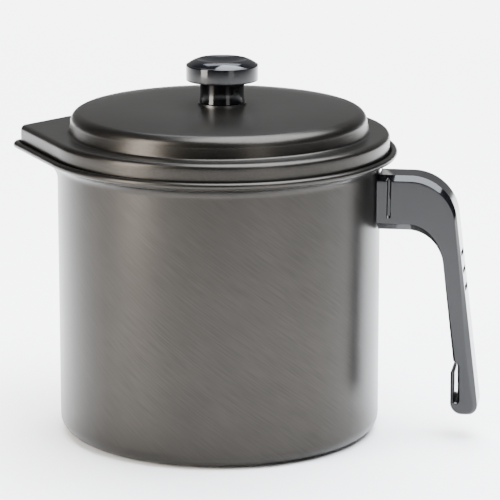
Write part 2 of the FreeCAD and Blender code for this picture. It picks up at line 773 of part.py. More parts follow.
def make_strainer_ring():
    """Crimped ring that holds the mesh down by its edge."""
    low = floor_top
    top = mesh_low + mesh_thickness + mesh_gap + ring_thickness
    inner = mesh_radius - mesh_frame_overlap
    step = mesh_radius + mesh_gap
    outer = step + ring_border
    under = mesh_low + mesh_thickness + mesh_gap
    edges = [
        line((inner, under), (step, under)),
        line((step, under), (step, low)),
        line((step, low), (outer, low)),
        line((outer, low), (outer, top - 0.3)),
        line((outer, top - 0.3), (outer - 0.3, top)),
        line((outer - 0.3, top), (inner + 0.3, top)),
        line((inner + 0.3, top), (inner, top - 0.3)),
        line((inner, top - 0.3), (inner, under)),
    ]
    return revolve(edges)


def write(name, shape):
    shape.exportStep(os.path.join("parts", name + ".step"))
    box = shape.optimalBoundingBox(False, False)
    print(name, "valid", shape.isValid(), "solids", len(shape.Solids), "faces", len(shape.Faces),
          "volume", round(shape.Volume, 1), "box",
          [round(v, 2) for v in (box.XMin, box.XMax, box.YMin, box.YMax, box.ZMin, box.ZMax)])


def main():
    os.makedirs("parts", exist_ok=True)
    write("pot_body", make_pot())
    write("handle", make_handle())
    write("handle_bracket", make_bracket())
    write("handle_screw", make_handle_screw())
    write("strainer_pan", make_strainer_pan())
    write("strainer_mesh", make_strainer_mesh())
    write("strainer_ring", make_strainer_ring())
    write("lid_plate", make_lid())
    write("lid_washer", make_lid_washer())
    write("knob", make_knob())
    write("knob_collar", make_knob_collar())
    write("knob_insert", make_knob_insert())
    write("knob_screw", make_knob_screw())


main()
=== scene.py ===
import math

import bmesh
import bpy
import numpy as np
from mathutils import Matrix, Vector


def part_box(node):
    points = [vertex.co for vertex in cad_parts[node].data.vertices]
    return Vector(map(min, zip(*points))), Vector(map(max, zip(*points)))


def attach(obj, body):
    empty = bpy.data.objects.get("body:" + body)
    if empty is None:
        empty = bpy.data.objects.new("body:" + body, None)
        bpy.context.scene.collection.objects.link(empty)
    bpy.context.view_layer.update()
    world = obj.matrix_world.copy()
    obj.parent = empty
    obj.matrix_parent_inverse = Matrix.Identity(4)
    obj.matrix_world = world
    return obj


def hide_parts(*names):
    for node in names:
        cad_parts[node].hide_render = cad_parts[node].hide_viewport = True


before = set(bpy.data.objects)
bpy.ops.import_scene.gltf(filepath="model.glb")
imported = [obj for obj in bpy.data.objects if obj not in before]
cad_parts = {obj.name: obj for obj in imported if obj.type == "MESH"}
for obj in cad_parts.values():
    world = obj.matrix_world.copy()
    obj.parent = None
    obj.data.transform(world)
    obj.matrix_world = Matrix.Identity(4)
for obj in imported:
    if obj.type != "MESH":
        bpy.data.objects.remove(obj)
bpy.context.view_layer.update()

bl_info = {
    "name": "Grease Pot Builder",
    "version": (1, 0, 0),
    "blender": (4, 5, 0),
    "location": "3D View > Sidebar > Grease Pot",
    "description": "Builds a metal grease pot with strainer, lid, knob and side handle",
    "category": "Add Mesh",
}

MM = 0.001

# Where the pot's axis and the middle of the view fall in the photograph, in pixels
PHOTO_SIDE = 500.0
AXIS_ACROSS = 219.08
MIDDLE_DOWN = 247.51

# Metres
VIEW_MIDDLE = 0.08
HANDLE_ROOT = 0.070
HANDLE_ROOT_RUN = 0.012
HANDLE_GAP = 0.0003
KNOB_BORE = 0.0037
KNOB_BORE_DEPTH = 0.0101
SCREW_HOLE = 0.0021
SCREW_SEAT = 0.007
SKIRT_HEIGHT = 0.0096
HANDLE_SCREW_PLACE = 0.085

# Rings of the turned finish
RING_SCALE = 120.0


def millimetres(name, description, value):
    """A length shown in the sidebar, stored in metres."""
    return bpy.props.FloatProperty(name=name, description=description, default=value * MM,
                                   subtype="DISTANCE", unit="LENGTH", precision=5)


def tint(name, description, value):
    """A colour shown in the sidebar."""
    return bpy.props.FloatVectorProperty(name=name, description=description, default=value,
                                         subtype="COLOR", size=3, min=0.0, max=1.0)


def share(name, description, value):
    """A value between 0 and 1 shown in the sidebar."""
    return bpy.props.FloatProperty(name=name, description=description, default=value,
                                   subtype="FACTOR", min=0.0, max=1.0)


class GreasePotBodySizes(bpy.types.PropertyGroup):
    """Sizes of the drawn pot."""
    wall_radius: millimetres("Wall radius", "Outside of the round wall", 70.0)
    sheet: millimetres("Sheet", "Thickness of the pot's metal", 0.8)
    corner: millimetres("Base corner", "Radius between wall and bottom", 7.0)
    lip_start: millimetres("Lip start", "Height at which the lip leaves the wall", 110.0)
    flare_start: millimetres("Flare start", "Height at which the mouth widens", 117.2)
    mouth_base: millimetres("Mouth base", "Height of the upright collar's foot", 121.5)
    flare: millimetres("Flare", "How far the mouth widens all round", 5.15)
    reach: millimetres("Lip reach", "How far the lip stands out", 18.85)
    nose: millimetres("Lip nose", "Radius of the lip's nose", 4.7)
    bead_height: millimetres("Bead height", "Height of the rolled bead's middle", 123.45)
    bead: millimetres("Bead radius", "Outside radius of the rolled bead", 1.5)
    tilt: bpy.props.FloatProperty(name="Flare tilt", description="Lean of the sheet at the collar",
                                  default=math.radians(75.0), subtype="ANGLE", unit="ROTATION")
    bead_turn: bpy.props.FloatProperty(name="Bead turn", description="How far the rim is rolled round",
                                       default=math.radians(305.0), subtype="ANGLE", unit="ROTATION")


class GreasePotLidSizes(bpy.types.PropertyGroup):
    """Sizes of the pressed lid."""
    sheet: millimetres("Sheet", "Thickness of the lid's metal", 0.7)
    gap: millimetres("Side gap", "Between the skirt and the mouth", 0.35)
    edge: millimetres("Flange edge", "Rounding between skirt and flange", 2.2)
    dome: millimetres("Dome radius", "Foot of the raised middle", 65.0)
    dome_wall: millimetres("Dome wall", "Height from flange to shoulder", 4.4)
    dome_lean: millimetres("Dome lean", "How far the raised wall leans in", 0.8)
    dome_foot: millimetres("Dome foot", "Hollow fillet at the foot", 1.1)
    shoulder: millimetres("Shoulder", "Rounding between wall and crown", 5.0)
    crown_flat: millimetres("Crown flat", "Flat in the middle under the knob", 13.0)


class GreasePotKnobSizes(bpy.types.PropertyGroup):
    """Sizes of the moulded knob."""
    offset: millimetres("Offset", "Knob's axis behind the pot's axis", 1.5)
    neck: millimetres("Neck radius", "Radius of the neck", 9.8)
    neck_height: millimetres("Neck height", "Height of the neck", 9.65)
    waist: millimetres("Waist", "How far the neck is drawn in", 0.35)
    cap: millimetres("Cap radius", "Radius of the cap", 15.6)
    side: millimetres("Cap side", "Height of the cap's upright side", 7.0)
    edge: millimetres("Edge", "Rounding of the cap's edges", 0.6)
    ring_rise: millimetres("Ring rise", "Rise of the ring to the dish", 2.2)
    dish: millimetres("Dish radius", "Radius of the hollow dish", 10.6)
    dish_depth: millimetres("Dish depth", "Depth of the hollow dish", 2.0)


class GreasePotHandleSizes(bpy.types.PropertyGroup):
    """Sizes of the moulded handle."""
    width: millimetres("Width", "Width across the handle", 18.0)
    top: millimetres("Top", "Height of the top face", 116.3)
    underside: millimetres("Underside", "Height of the root's underside", 92.2)
    outer_corner: millimetres("Outer corner", "Where top and outer face would meet", 102.2)
    inner_corner: millimetres("Inner corner", "Where underside and inner face would meet", 97.1)
    outer_end: millimetres("Outer end", "Outer face at the lower end", 115.1)
    inner_end: millimetres("Inner end", "Inner face at the lower end", 106.7)
    outer_bend: millimetres("Outer bend", "Radius of the outer bend", 20.0)
    inner_bend: millimetres("Inner bend", "Radius of the inner bend", 15.4)
    bottom: millimetres("Bottom", "Height of the lower end", 11.4)
    top_bevel: millimetres("Top bevel", "Bevel along the top and outer edges", 2.3)
    under_bevel: millimetres("Under bevel", "Bevel along the root's underside", 3.3)
    grip_bevel: millimetres("Grip bevel", "What is left of that bevel down the grip", 0.9)
    end_round: millimetres("End round", "Rounding of the lower outer corner", 4.0)
    hook_round: millimetres("Hook round", "Rounding of the hook's lower corner", 5.0)
    hook: millimetres("Hook", "Thickness of the hook", 1.8)
    slot: millimetres("Slot", "Slot between hook and grip", 1.5)
    slot_height: millimetres("Slot height", "Height of that slot", 14.0)
    floor: millimetres("Hook floor", "Material under the slot", 5.6)
    hook_x: millimetres("Hook side", "Inner side of the hook", 102.8)
    neck_at: millimetres("Neck place", "Start of the moulded neck", 74.4)
    neck_width: millimetres("Neck width", "Width of the moulded neck", 1.7)
    neck_depth: millimetres("Neck depth", "Depth of the moulded neck", 1.1)
    neck_low: millimetres("Neck bottom", "Height of the neck's lower end", 98.3)
    groove_top: millimetres("First groove", "Height of the top finger groove", 82.0)
    groove_pitch: millimetres("Groove pitch", "Spacing of the finger grooves", 7.6)
    groove_height: millimetres("Groove height", "Height of a finger groove", 2.0)
    groove_length: millimetres("Groove length", "Length of a finger groove", 9.0)
    groove_depth: millimetres("Groove depth", "Depth of a finger groove", 0.9)


class GreasePotFinish(bpy.types.PropertyGroup):
    """Colours of the finishes."""
    coat: tint("Coated metal", "Warm grey satin coat of pot and lid", (0.030, 0.0275, 0.0245))
    moulding: tint("Moulding", "Black of handle and knob", (0.002, 0.002, 0.0025))
    steel: tint("Steel", "Bare steel of strainer and screws", (0.62, 0.61, 0.60))
    brass: tint("Brass", "Brass of the knob's insert", (0.72, 0.53, 0.24))
    coat_roughness: share("Coat roughness", "Roughness of the satin coat", 0.31)
    moulding_roughness: share("Moulding roughness", "Roughness of the black moulding", 0.10)


class GreasePotStudio(bpy.types.PropertyGroup):
    """Camera and light."""
    azimuth: bpy.props.FloatProperty(name="Azimuth", description="Camera's turn round the pot",
                                     default=math.radians(9.0), subtype="ANGLE", unit="ROTATION")
    elevation: bpy.props.FloatProperty(name="Elevation", description="Camera's height angle",
                                       default=math.radians(13.38), subtype="ANGLE", unit="ROTATION")
    distance: bpy.props.FloatProperty(name="Distance", description="Camera's distance",
                                      default=1.3, subtype="DISTANCE", unit="LENGTH")
    frame_width: bpy.props.FloatProperty(name="Frame width", description="Width that the frame shows",
                                         default=0.21845, subtype="DISTANCE", unit="LENGTH")


# Shapes as arrays

def lip_radius(theta, radius, reach, nose):
    """Distance from the axis at each angle of a round outline with a nose along -X:
    the round where the angle from -X is past the contact angle, the straight side
    radius / cos(angle - contact) inside it, and the nose's own circle at the tip."""
    psi = np.abs(np.pi - theta)
    if reach - radius < 1e-6:
        return np.full_like(theta, radius)
    centre = reach - nose
    contact = math.acos((radius - nose) / centre)
    tip = math.atan2(nose * math.sin(contact), centre + nose * math.cos(contact))
    side = radius / np.cos(np.clip(psi - contact, -1.5, 1.5))
    inside = np.clip(nose ** 2 - (centre * np.sin(psi)) ** 2, 0.0, None)
    point = centre * np.cos(psi) + np.sqrt(inside)
    return np.where(psi > contact, radius, np.where(psi > tip, side, point))


def turn_angles(coarse=300):
    """Angles round the pot, close together where the nose is."""
    near = math.radians(7.0)
    left = np.linspace(0.0, np.pi - near, coarse // 2, endpoint=False)
    mid = np.linspace(np.pi - near, np.pi + near, 73, endpoint=False)
    right = np.linspace(np.pi + near, 2.0 * np.pi, coarse // 2, endpoint=False)
    return np.concatenate([left, mid, right])


def ring_levels(levels, theta):
    """Rows of points: each level gives radius, reach, nose, height and centre x."""
    rows = []
    for radius, reach, nose, height, centre in levels:
        r = lip_radius(theta, radius, reach, nose)
        rows.append(np.stack([centre + r * np.cos(theta), r * np.sin(theta),
                              np.full_like(theta, height)], -1))
    return np.array(rows)


def grid_mesh(name, points, close_rows=False, close_columns=True, cap_first=False, cap_last=False):
    """Mesh of a grid of points: quads between neighbours, with optional joined ends
    and optional middle points that close the first and last rows."""
    rows, columns = points.shape[:2]
    verts = points.reshape(-1, 3)
    i = np.arange(rows if close_rows else rows - 1)[:, None]
    j = np.arange(columns if close_columns else columns - 1)[None, :]
    i2 = (i + 1) % rows
    j2 = (j + 1) % columns
    quads = np.stack([i * columns + j, i * columns + j2, i2 * columns + j2, i2 * columns + j], -1)
    faces = quads.reshape(-1, 4).tolist()
    for wanted, row, flip in ((cap_first, 0, True), (cap_last, rows - 1, False)):
        if not wanted:
            continue
        centre = len(verts)
        verts = np.concatenate([verts, points[row].mean(0)[None]])
        a = row * columns + np.arange(columns)
        b = row * columns + (np.arange(columns) + 1) % columns
        fan = np.stack([b, a, np.full(columns, centre)], -1) if flip else np.stack(
            [a, b, np.full(columns, centre)], -1)
        faces += fan.tolist()
    mesh = bpy.data.meshes.new(name)
    mesh.from_pydata(verts, [], faces)
    mesh.validate()
    return mesh


def outward(mesh):
    """Turns every face to point outwards."""
    bm = bmesh.new()
    bm.from_mesh(mesh)
    bmesh.ops.remove_doubles(bm, verts=bm.verts, dist=1e-7)
    bmesh.ops.recalc_face_normals(bm, faces=bm.faces)
    bm.to_mesh(mesh)
    bm.free()


def place(name, mesh, material, body, nodes, sharp=35.0):
    """Links a piece, shades it smooth, gives it its finish and hides what it stands for."""
    outward(mesh)
    mesh.polygons.foreach_set("use_smooth", np.ones(len(mesh.polygons), bool))
    mesh.set_sharp_from_angle(angle=math.radians(sharp))
    mesh.materials.append(material)
    piece = bpy.data.objects.new(name, mesh)
    bpy.context.scene.collection.objects.link(piece)
    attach(piece, body)
    if nodes:
        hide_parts(*nodes)
    return piece


def arc_points(centre, radius, first, last, count):
    """Points of an arc in the profile plane, angles in degrees."""
    a = np.radians(np.linspace(first, last, count))
    return np.stack([centre[0] + radius * np.cos(a), centre[1] + radius * np.sin(a)], -1)


def revolve_profile(name, profile, centre, count=160, close_rows=False, caps=(False, False)):
    """Profile of radius and height carried round an upright axis."""
    theta = np.linspace(0.0, 2.0 * np.pi, count, endpoint=False)
    profile = np.asarray(profile)
    x = centre + profile[:, :1] * np.cos(theta)[None]
    y = profile[:, :1] * np.sin(theta)[None]
    z = np.repeat(profile[:, 1:2], count, 1)
    return grid_mesh(name, np.stack([x, y, z], -1), close_rows, True, *caps)


# Finishes

def add(nodes, kind, x, y, **values):
    """Adds a shader node, places it and sets its plain values."""
    node = nodes.new(kind)
    node.location = (x, y)
    for key, value in values.items():
        setattr(node, key, value)
    return node


def base_material(name):
    """Empty node material with its principled shader."""
    material = bpy.data.materials.new(name)
    material.use_nodes = True
    tree = material.node_tree
    shader = tree.nodes["Principled BSDF"]
    return material, tree.nodes, tree.links, shader


def mix_colour(nodes, links, x, y, factor, low, high):
    """Mixes two plain colours by a factor socket."""
    mix = add(nodes, "ShaderNodeMix", x, y, data_type="RGBA")
    mix.inputs[6].default_value = (*low, 1.0)
    mix.inputs[7].default_value = (*high, 1.0)
    links.new(factor, mix.inputs[0])
    return mix.outputs[2]


def ramp(nodes, links, x, y, factor, low, high, from_low=0.0, from_high=1.0):
    """Maps a value from one range to another."""
    node = add(nodes, "ShaderNodeMapRange", x, y)
    node.inputs["From Min"].default_value = from_low
    node.inputs["From Max"].default_value = from_high
    node.inputs["To Min"].default_value = low
    node.inputs["To Max"].default_value = high
    links.new(factor, node.inputs["Value"])
    return node.outputs["Result"]


def satin_coat(name, colour, roughness, grain_turn, wrap_radius=0.0):
    """Warm grey satin coat: fine brushed grain, faint clouding and a little sparkle.
    With a wrap radius the grain follows an upright wall round, evenly on every side."""
    material, nodes, links, shader = base_material(name)
    where = add(nodes, "ShaderNodeTexCoord", -1400, 0)
    turned = add(nodes, "ShaderNodeMapping", -1200, 200, vector_type="TEXTURE")
    turned.inputs["Rotation"].default_value = grain_turn
    turned.inputs["Scale"].default_value = (0.014, 0.0006, 0.0006)
    if wrap_radius > 0.0:
        parts = add(nodes, "ShaderNodeSeparateXYZ", -1900, 200)
        angle = add(nodes, "ShaderNodeMath", -1720, 260, operation="ARCTAN2")
        arc = add(nodes, "ShaderNodeMath", -1560, 260, operation="MULTIPLY")
        arc.inputs[1].default_value = wrap_radius
        joined = add(nodes, "ShaderNodeCombineXYZ", -1400, 200)
        links.new(where.outputs["Object"], parts.inputs["Vector"])
        links.new(parts.outputs["Y"], angle.inputs[0])
        links.new(parts.outputs["X"], angle.inputs[1])
        links.new(angle.outputs[0], arc.inputs[0])
        links.new(arc.outputs[0], joined.inputs["X"])
        links.new(parts.outputs["Z"], joined.inputs["Y"])
        links.new(joined.outputs["Vector"], turned.inputs["Vector"])
    else:
        links.new(where.outputs["Object"], turned.inputs["Vector"])
    grain = add(nodes, "ShaderNodeTexNoise", -1000, 250)
    grain.inputs["Scale"].default_value = 1.0
    grain.inputs["Detail"].default_value = 3.0
    links.new(turned.outputs["Vector"], grain.inputs["Vector"])
    cloud = add(nodes, "ShaderNodeTexNoise", -1000, 0)
    cloud.inputs["Scale"].default_value = 38.0
    cloud.inputs["Detail"].default_value = 4.0
    links.new(where.outputs["Object"], cloud.inputs["Vector"])
    speck = add(nodes, "ShaderNodeTexNoise", -1000, -250)
    speck.inputs["Scale"].default_value = 1900.0
    speck.inputs["Detail"].default_value = 2.0
    links.new(where.outputs["Object"], speck.inputs["Vector"])
    total = add(nodes, "ShaderNodeMath", -780, 120, operation="MULTIPLY_ADD")
    links.new(grain.outputs["Fac"], total.inputs[0])
    total.inputs[1].default_value = 2.0
    links.new(cloud.outputs["Fac"], total.inputs[2])
    low = tuple(c * 0.85 for c in colour)
    high = tuple(min(c * 1.15, 1.0) for c in colour)
    tone = ramp(nodes, links, -580, 120, total.outputs[0], 0.0, 1.0, 1.0, 2.0)
    links.new(mix_colour(nodes, links, -360, 200, tone, low, high), shader.inputs["Base Color"])
    rough = ramp(nodes, links, -580, -120, cloud.outputs["Fac"],
                 roughness - 0.015, roughness + 0.02, 0.3, 0.7)
    links.new(rough, shader.inputs["Roughness"])
    height = add(nodes, "ShaderNodeMath", -780, -260, operation="MULTIPLY_ADD")
    links.new(speck.outputs["Fac"], height.inputs[0])
    height.inputs[1].default_value = 0.8
    links.new(grain.outputs["Fac"], height.inputs[2])
    bump = add(nodes, "ShaderNodeBump", -360, -260)
    bump.inputs["Strength"].default_value = 0.10
    bump.inputs["Distance"].default_value = 0.00010
    links.new(height.outputs[0], bump.inputs["Height"])
    links.new(bump.outputs["Normal"], shader.inputs["Normal"])
    shader.inputs["Metallic"].default_value = 0.92
    shader.inputs["Specular IOR Level"].default_value = 0.5
    return material


def black_moulding(name, colour, roughness):
    """Glossy black moulding: faint flow waviness, tiny dust specks and handling haze."""
    material, nodes, links, shader = base_material(name)
    where = add(nodes, "ShaderNodeTexCoord", -1200, 0)
    wave = add(nodes, "ShaderNodeTexNoise", -1000, 150)
    wave.inputs["Scale"].default_value = 90.0
    wave.inputs["Detail"].default_value = 1.0
    links.new(where.outputs["Object"], wave.inputs["Vector"])
    haze = add(nodes, "ShaderNodeTexNoise", -1000, -50)
    haze.inputs["Scale"].default_value = 260.0
    haze.inputs["Detail"].default_value = 5.0
    links.new(where.outputs["Object"], haze.inputs["Vector"])
    speck = add(nodes, "ShaderNodeTexVoronoi", -1000, -250)
    speck.inputs["Scale"].default_value = 1400.0
    links.new(where.outputs["Object"], speck.inputs["Vector"])
    high = tuple(min(c * 1.8 + 0.001, 1.0) for c in colour)
    tone = ramp(nodes, links, -600, 100, haze.outputs["Fac"], 0.0, 1.0, 0.35, 0.75)
    links.new(mix_colour(nodes, links, -360, 200, tone, colour, high), shader.inputs["Base Color"])
    rough = ramp(nodes, links, -600, -100, haze.outputs["Fac"],
                 roughness * 0.8, roughness * 1.5, 0.3, 0.8)
    links.new(rough, shader.inputs["Roughness"])
    fine = ramp(nodes, links, -600, -300, speck.outputs["Distance"], 0.0, 0.05, 0.0, 0.6)
    height = add(nodes, "ShaderNodeMath", -420, -260, operation="ADD")
    links.new(wave.outputs["Fac"], height.inputs[0])
    links.new(fine, height.inputs[1])
    bump = add(nodes, "ShaderNodeBump", -240, -260)
    bump.inputs["Strength"].default_value = 0.05
    bump.inputs["Distance"].default_value = 0.0002
    links.new(height.outputs[0], bump.inputs["Height"])
    links.new(bump.outputs["Normal"], shader.inputs["Normal"])
    shader.inputs["Metallic"].default_value = 0.0
    shader.inputs["IOR"].default_value = 1.4
    return material


def turned_metal(name, colour, roughness, centre=0.0):
    """Bare metal with fine rings turned round an axis at a place on X, and faint stains."""
    material, nodes, links, shader = base_material(name)
    where = add(nodes, "ShaderNodeTexCoord", -1200, 0)
    moved = add(nodes, "ShaderNodeMapping", -1000, 100)
    moved.inputs["Location"].default_value = (-centre, 0.0, 0.0)
    links.new(where.outputs["Object"], moved.inputs["Vector"])
    rings = add(nodes, "ShaderNodeTexWave", -800, 150, wave_type="RINGS", rings_direction="Z")
    rings.inputs["Scale"].default_value = RING_SCALE
    rings.inputs["Distortion"].default_value = 0.4
    rings.inputs["Detail"].default_value = 2.0
    links.new(moved.outputs["Vector"], rings.inputs["Vector"])
    stain = add(nodes, "ShaderNodeTexNoise", -800, -100)
    stain.inputs["Scale"].default_value = 70.0
    stain.inputs["Detail"].default_value = 4.0
    links.new(where.outputs["Object"], stain.inputs["Vector"])
    low = tuple(c * 0.94 for c in colour)
    tone = ramp(nodes, links, -560, 100, stain.outputs["Fac"], 0.0, 1.0, 0.3, 0.7)
    links.new(mix_colour(nodes, links, -360, 200, tone, low, colour), shader.inputs["Base Color"])
    rough = ramp(nodes, links, -560, -100, stain.outputs["Fac"],
                 roughness * 0.95, roughness * 1.08, 0.3, 0.7)
    links.new(rough, shader.inputs["Roughness"])
    bump = add(nodes, "ShaderNodeBump", -360, -260)
    bump.inputs["Strength"].default_value = 0.12
    bump.inputs["Distance"].default_value = 0.00003
    links.new(rings.outputs["Fac"], bump.inputs["Height"])
    links.new(bump.outputs["Normal"], shader.inputs["Normal"])
    shader.inputs["Metallic"].default_value = 1.0
    return material


def woven_wire(name, colour, pitch=0.0011):
    """Plain woven wire screen: wires along X and Y that pass over and under, with painted shade near
    black in the gaps between them.
    """
    material, nodes, links, shader = base_material(name)
    where = add(nodes, "ShaderNodeTexCoord", -1400, 0)
    parts = add(nodes, "ShaderNodeSeparateXYZ", -1200, 0)
    links.new(where.outputs["Object"], parts.inputs[0])
    waves = []
    for index, axis in enumerate(("X", "Y")):
        turn = add(nodes, "ShaderNodeMath", -1000, 200 - 300 * index, operation="MULTIPLY")
        turn.inputs[1].default_value = math.pi / pitch
        links.new(parts.outputs[axis], turn.inputs[0])
        bend = add(nodes, "ShaderNodeMath", -820, 200 - 300 * index, operation="SINE")
        links.new(turn.outputs[0], bend.inputs[0])
        size = add(nodes, "ShaderNodeMath", -640, 200 - 300 * index, operation="ABSOLUTE")
        links.new(bend.outputs[0], size.inputs[0])
        waves.append(size.outputs[0])
    wires = add(nodes, "ShaderNodeMath", -460, 60, operation="MAXIMUM")
    links.new(waves[0], wires.inputs[0])
    links.new(waves[1], wires.inputs[1])
    # Painted shade: the gaps between the wires get a near-black colour that stands in for the shaded
    # openings.
    solid = ramp(nodes, links, -280, 60, wires.outputs[0], 0.0, 1.0, 0.62, 0.82)
    dark = tuple(c * 0.05 for c in colour)
    links.new(mix_colour(nodes, links, -100, 200, solid, dark, colour), shader.inputs["Base Color"])
    bump = add(nodes, "ShaderNodeBump", -100, -260)
    bump.inputs["Strength"].default_value = 0.8
    bump.inputs["Distance"].default_value = 0.0003
    links.new(wires.outputs[0], bump.inputs["Height"])
    links.new(bump.outputs["Normal"], shader.inputs["Normal"])
    shader.inputs["Metallic"].default_value = 1.0
    shader.inputs["Roughness"].default_value = 0.32
    return material


def finish_node(node, material):
    """Gives a carried-over solid its finish."""
    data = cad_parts[node].data
    data.materials.clear()
    data.materials.append(material)


# Pot and lid

def trumpet(u, tilt):
    """Share of the widening at share u of the height: slow, then fast."""
    k = math.sin(tilt)
    u = min(max(u, 0.0), 1.0)
    return (1.0 - math.sqrt(1.0 - (k * u) ** 2)) / (1.0 - math.sqrt(1.0 - k * k))


def mouth_at(pot, z):
    """Radius, reach and nose of the pot's outside at height z."""
    round_step = trumpet((z - pot.flare_start) / (pot.mouth_base - pot.flare_start), pot.tilt)
    lip_step = trumpet((z - pot.lip_start) / (pot.mouth_base - pot.lip_start), pot.tilt)
    radius = pot.wall_radius + pot.flare * round_step
    reach = pot.wall_radius + pot.reach * lip_step
    full = pot.wall_radius + pot.flare - pot.nose
    nose = radius - full * lip_step ** 0.35
    return radius, max(reach, radius), max(nose, pot.nose)


def pot_levels(pot):
    """Levels of the sheet from the outer bottom over the bead to the inner bottom."""
    sheet = pot.sheet
    rise = math.sin(pot.tilt)
    shares = [math.sin(pot.tilt * i / 16.0) / rise for i in range(17)]
    heights = [pot.lip_start + (pot.mouth_base - pot.lip_start) * s for s in shares]

    def skin(offset, lift, upward):
        """Rows of one side of the sheet, from the bottom's middle to the collar."""
        corner = max(pot.corner - offset, 0.0005)
        radius = pot.wall_radius - offset
        floor = [(r, r, r, offset, 0.0) for r in np.linspace(0.0004, radius - corner, 9)]
        bend = [(p[0], p[0], p[0], p[1], 0.0)
                for p in arc_points((radius - corner, offset + corner), corner, -90, 0, 12)[1:]]
        wall = [(radius, radius, radius, z, 0.0)
                for z in np.linspace(offset + corner, pot.lip_start + lift, 20)[1:-1]]
        flare = []
        for z in heights:
            r, reach, nose = mouth_at(pot, z)
            flare.append((r - offset, reach - offset, nose - offset, z + lift, 0.0))
        rows = floor + bend + wall + flare
        return rows if upward else rows[::-1]

    r, reach, nose = mouth_at(pot, pot.mouth_base)
    levels = skin(0.0, 0.0, True)
    inner = pot.bead - sheet
    middle = -sheet + pot.bead
    last = math.degrees(math.pi - pot.bead_turn)
    for p in arc_points((middle, pot.bead_height), inner, 180.0, last, 18):
        levels.append((r + p[0], reach + p[0], nose + p[0], p[1], 0.0))
    for p in arc_points((middle, pot.bead_height), pot.bead, last, 180.0, 26):
        levels.append((r + p[0], reach + p[0], nose + p[0], p[1], 0.0))
    levels += skin(sheet, sheet, False)
    return levels


def lid_levels(pot, lid, knob, box):
    """Levels of the lid's sheet from the screw hole over the top, round the skirt's
    edge and back underneath; the flange goes from the round foot to the lip's shape."""
    low, top = box[0][2], box[1][2]
    r, reach, nose = mouth_at(pot, pot.mouth_base)
    shrink = pot.sheet + lid.gap
    radius, reach, nose = r - shrink, reach - shrink, nose - shrink
    flange = low + SKIRT_HEIGHT

    def upper(offset):
        """Rows of one side of the sheet, from the hole to the skirt's lower edge."""
        rows = []
        flat = top - offset
        rows.append((SCREW_HOLE, SCREW_HOLE, SCREW_HOLE, flat, knob.offset))
        rows.append((SCREW_SEAT, SCREW_SEAT, SCREW_SEAT, flat, knob.offset * 0.6))
        side_low = lid.dome - offset
        side_high = side_low - lid.dome_lean
        round_r = lid.shoulder - offset
        side_top = flange + lid.dome_wall
        shoulder_x = side_high - round_r
        shoulder = arc_points((shoulder_x, side_top), round_r, 80, 0, 20)
        share = np.linspace(0.0, 1.0, 26)[:-1]
        run = shoulder[0][0] - lid.crown_flat
        drop = flat - shoulder[0][1]
        power = math.tan(math.radians(10.0)) * run / drop
        rows += [(x, x, x, z, 0.0)
                 for x, z in zip(lid.crown_flat + run * share, flat - drop * share ** power)]
        rows += [(x, x, x, z, 0.0) for x, z in shoulder]
        foot = lid.dome_foot + offset
        base = flange - offset
        rows += [(x, x, x, z, 0.0)
                 for x, z in arc_points((side_low + foot, base + foot), foot, 180, 270, 9)]
        start = side_low + foot
        edge = max(lid.edge - offset, 0.0003)
        inset = offset + edge
        for share_out in np.linspace(0.0, 1.0, 7)[1:]:
            e_r = start + (radius - inset - start) * share_out
            e_l = start + (reach - inset - start) * share_out
            e_n = start + (nose - inset - start) * share_out ** 0.5
            rows.append((e_r, max(e_l, e_r), min(e_n, e_r), base, 0.0))
        for x, z in arc_points((-inset, base - edge), edge, 90, 0, 8)[1:]:
            rows.append((radius + x, reach + x, nose + x, z, 0.0))
        for z in np.linspace(base - edge, low, 7)[1:]:
            rows.append((radius - offset, reach - offset, nose - offset, z, 0.0))
        return rows

    return upper(0.0) + upper(lid.sheet)[::-1]


def circle_through(a, m, b, count):
    """Points of the arc through three points of the profile plane."""
    ax, ay, mx, my, bx, by = *a, *m, *b
    d = 2.0 * (ax * (my - by) + mx * (by - ay) + bx * (ay - my))
    a2, m2, b2 = ax * ax + ay * ay, mx * mx + my * my, bx * bx + by * by
    cx = (a2 * (my - by) + m2 * (by - ay) + b2 * (ay - my)) / d
    cy = (a2 * (bx - mx) + m2 * (ax - bx) + b2 * (mx - ax)) / d
    middle = math.atan2(my - cy, mx - cx)
    first = math.remainder(math.atan2(ay - cy, ax - cx) - middle, math.tau)
    last = math.remainder(math.atan2(by - cy, bx - cx) - middle, math.tau)
    t = middle + np.linspace(first, last, count)
    radius = math.hypot(ax - cx, ay - cy)
    return np.stack([cx + radius * np.cos(t), cy + radius * np.sin(t)], -1)


# Handle

def bend_at(before, at, after, radius, count):
    """Points of the arc that rounds a corner of an outline."""
    a = np.subtract(before, at)
    a = a / np.linalg.norm(a)
    b = np.subtract(after, at)
    b = b / np.linalg.norm(b)
    half = math.acos(float(np.clip(a @ b, -1, 1))) / 2.0
    run = radius / math.tan(half)
    start = np.add(at, a * run)
    end = np.add(at, b * run)
    way = (a + b) / np.linalg.norm(a + b)
    centre = np.add(at, way * radius / math.sin(half))
    first = math.atan2(*(start - centre)[::-1])
    last = math.atan2(*(end - centre)[::-1])
    if last - first > math.pi:
        last -= 2.0 * math.pi
    if first - last > math.pi:
        last += 2.0 * math.pi
    t = np.linspace(first, last, count)
    return np.stack([centre[0] + radius * np.cos(t), centre[1] + radius * np.sin(t)], -1)


def straight(a, b, count):
    """Points between two points, without the first."""
    return np.linspace(a, b, count + 1)[1:]


